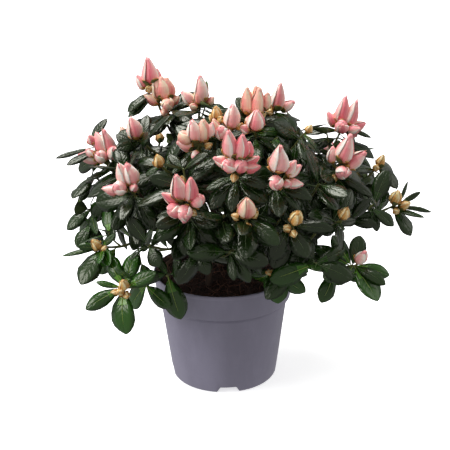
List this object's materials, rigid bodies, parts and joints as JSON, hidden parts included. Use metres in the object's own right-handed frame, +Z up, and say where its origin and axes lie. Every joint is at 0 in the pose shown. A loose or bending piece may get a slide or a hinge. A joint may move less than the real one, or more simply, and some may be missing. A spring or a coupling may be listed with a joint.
{
  "type": "potted azalea shrub",
  "caption": "Compact potted azalea in bud: flared plastic pot, peat, short forking trunk, boughs and masses of leathery leaves with clusters of pointed flower buds.",
  "frame": {"origin": "centre of the flat underside of the pot", "axes": "+Z up along the pot's axis, -Y towards the front of the plant, +X to the right seen from the front"},
  "size_m": [0.3298, 0.3077, 0.2955],
  "materials": {
    "pot": "matte, fine satin sheen",
    "peat": "rough, damp",
    "bark": "rough bark",
    "foliage": "leathery, glossy above"
  },
  "bodies": {
    "root": {"pot": "pot", "peat": "peat", "trunk": "bark", "side_stem": "bark", "bough_crown_left": "bark", "bough_crown_right": "bark", "bough_front_top": "bark", "bough_front_centre": "bark", "bough_front_low_left": "bark", "bough_front_left": "bark", "bough_shoulder_left": "bark", "bough_foot_left": "bark", "bough_shoulder_right": "bark", "bough_side_right": "bark", "bough_foot_right": "bark", "bough_back_crown": "bark", "bough_back_right": "bark", "bough_back": "bark", "bough_back_left": "bark", "foliage_crown_left": "foliage", "foliage_crown_right": "foliage", "foliage_front_top": "foliage", "foliage_front_centre": "foliage", "foliage_front_low_left": "foliage", "foliage_front_left": "foliage", "foliage_shoulder_left": "foliage", "foliage_foot_left": "foliage", "foliage_shoulder_right": "foliage", "foliage_side_right": "foliage", "foliage_foot_right": "foliage", "foliage_back_crown": "foliage", "foliage_back_right": "foliage", "foliage_back": "foliage", "foliage_back_left": "foliage"}
  },
  "joints": []
}
